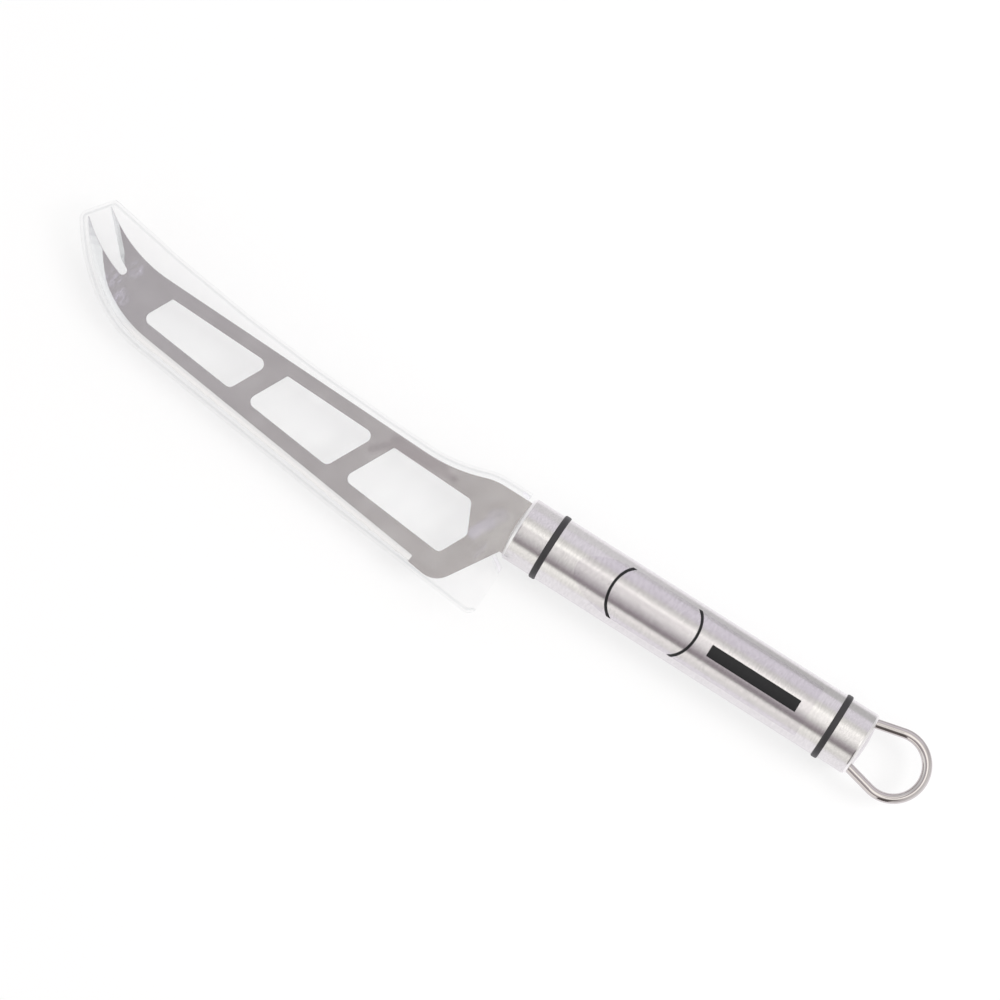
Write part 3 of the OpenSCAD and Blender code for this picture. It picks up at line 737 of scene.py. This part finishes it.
def band_colour(tree, angle):
    """The colour of the broad bands of light along the handle, by the angle from straight up."""
    ramp = put(tree, "ShaderNodeValToRGB", {"Fac": share_of(tree, angle, -math.pi, math.pi)})
    ramp.color_ramp.interpolation = "EASE"
    stops = ramp.color_ramp.elements
    while len(stops) < len(ROOM_LIGHT):
        stops.new(0.5)
    for stop, (degrees, level, tint) in zip(stops, ROOM_LIGHT):
        stop.position = (degrees + 180) / 360
        stop.color = (*(level * part for part in tint), 1.0)
    return ramp.outputs[0]


def room_colour(tree, way):
    """The light from each direction: the bands, with the patch, plain ends, gap and spot in them."""
    xyz = parts_of(tree, way)
    angle = calc(tree, "ARCTAN2", calc(tree, "MULTIPLY", xyz["Y"], -1.0), xyz["Z"])
    degrees = calc(tree, "DEGREES", angle)
    along = xyz["X"]

    def all_of(*steps):
        share = 1.0
        for value, ends in steps:
            share = calc(tree, "MULTIPLY", share, step_between(tree, value, ends))
        return share

    patch = all_of((along, PATCH_LEAN), (degrees, PATCH_SPINE_SIDE), (degrees, PATCH_EDGE_SIDE))
    room = blend_colours(tree, patch, band_colour(tree, angle), PATCH_COLOUR)
    for colour, ends in PLAIN_ENDS:
        room = blend_colours(tree, step_between(tree, along, ends), room, colour)
    gap = all_of((degrees, GAP_TOP), (degrees, GAP_LOW), (along, GAP_BEGINS), (along, GAP_ENDS))
    room = blend_colours(tree, gap, room, GAP_COLOUR)
    to_spot = put(tree, "ShaderNodeVectorMath", {0: way, 1: SPOT_WAY}, operation="DOT_PRODUCT")
    spot = step_between(tree, to_spot.outputs["Value"], SPOT_NEAR)
    return blend_colours(tree, spot, room, SPOT_COLOUR)


def light_room():
    """Soft light from all round, in broad bands along the handle. The camera sees white."""
    world = bpy.data.worlds.new("room")
    bpy.context.scene.world = world
    world.use_nodes = True
    tree = world.node_tree
    tree.nodes.clear()
    way = put(tree, "ShaderNodeTexCoord").outputs["Generated"]
    felt = put(tree, "ShaderNodeBackground", {"Color": room_colour(tree, way)})
    seen = put(tree, "ShaderNodeBackground", {"Color": FLOOR_WHITE, "Strength": 1.0})
    is_camera = put(tree, "ShaderNodeLightPath").outputs["Is Camera Ray"]
    mix = put(tree, "ShaderNodeMixShader", {0: is_camera, 1: felt.outputs[0], 2: seen.outputs[0]})
    put(tree, "ShaderNodeOutputWorld", {"Surface": mix.outputs[0]})


def hang_lamp():
    """A soft square lamp that points at the knife and doesn't show in the steel."""
    data = bpy.data.lights.new("key", "AREA")
    data.size = LAMP_WIDTH
    data.energy = LAMP_POWER
    lamp = bpy.data.objects.new("key", data)
    lamp.location = LAMP_PLACE
    lamp.rotation_euler = (-LAMP_PLACE).to_track_quat("-Z", "Y").to_euler()
    lamp.visible_camera = False
    lamp.visible_glossy = False
    bpy.context.scene.collection.objects.link(lamp)


def floor_finish():
    """Pale paper that the picture shows white, with soft shadows, and that is dimmer in reflections."""
    made, tree = new_material("floor_finish")

    def white(colour, glow, shade):
        light = put(tree, "ShaderNodeEmission", {"Color": colour, "Strength": glow})
        paper = put(tree, "ShaderNodeBsdfDiffuse", {"Color": (shade, shade, shade, 1.0)})
        return put(tree, "ShaderNodeAddShader", {0: light.outputs[0], 1: paper.outputs[0]}).outputs[0]

    xyz = parts_of(tree, own_place(tree))
    tube_side = AXIS.y + TUBE_R
    spine_side = step_between(tree, xyz["Y"], [tube_side + reach for reach in MIRRORED_DIMS])
    to_loop = step_between(tree, xyz["X"], (tube_low.x, tube_high.x))
    mirrored_glow = spread(tree, spine_side, MIRRORED_NEAR, spread(tree, to_loop, *MIRRORED_SPINE_SIDE))
    path = put(tree, "ShaderNodeLightPath").outputs
    seen = calc(tree, "MAXIMUM", path["Is Camera Ray"], path["Is Transmission Ray"])
    shader = put(tree, "ShaderNodeBsdfDiffuse", {"Color": FLOOR_COLOUR})
    looks = [
        (path["Is Glossy Ray"], white(MIRRORED_WHITE, mirrored_glow, MIRRORED_SHADE)),
        (seen, white(FLOOR_WHITE, FLOOR_GLOW, FLOOR_SHADE)),
    ]
    for looked_at, shown in looks:
        shader = put(tree, "ShaderNodeMixShader", {0: looked_at, 1: shader.outputs[0], 2: shown})
    show(tree, shader)
    return made


def lay_floor():
    """A plain pale floor under the knife."""
    half = FLOOR_SIZE / 2
    corners = [(-half, -half, 0), (half, -half, 0), (half, half, 0), (-half, half, 0)]
    mesh = bpy.data.meshes.new("floor")
    mesh.from_pydata(corners, [], [(0, 1, 2, 3)])
    mesh.materials.append(floor_finish())
    floor = bpy.data.objects.new("floor", mesh)
    bpy.context.scene.collection.objects.link(floor)


def set_camera():
    """The camera of the photograph: high above the knife, which lies across the picture."""
    data = bpy.data.cameras.new("camera")
    data.sensor_width = SENSOR_WIDTH
    data.lens = SENSOR_WIDTH * CAMERA_DISTANCE / PICTURE_WIDTH
    camera = bpy.data.objects.new("camera", data)
    back = Vector((math.sin(CAMERA_LEAN), 0, math.cos(CAMERA_LEAN)))
    up = Vector((-math.sin(KNIFE_TURN), math.cos(KNIFE_TURN), 0))
    right = up.cross(back).normalized()
    up = back.cross(right)
    turn = Matrix((right, up, back)).transposed().to_4x4()
    camera.matrix_world = Matrix.Translation(PICTURE_MIDDLE + CAMERA_DISTANCE * back) @ turn
    bpy.context.scene.collection.objects.link(camera)
    bpy.context.scene.camera = camera


finish_nodes()
make_sleeve()
light_room()
hang_lamp()
lay_floor()
set_camera()
bpy.context.scene.view_settings.view_transform = "Standard"
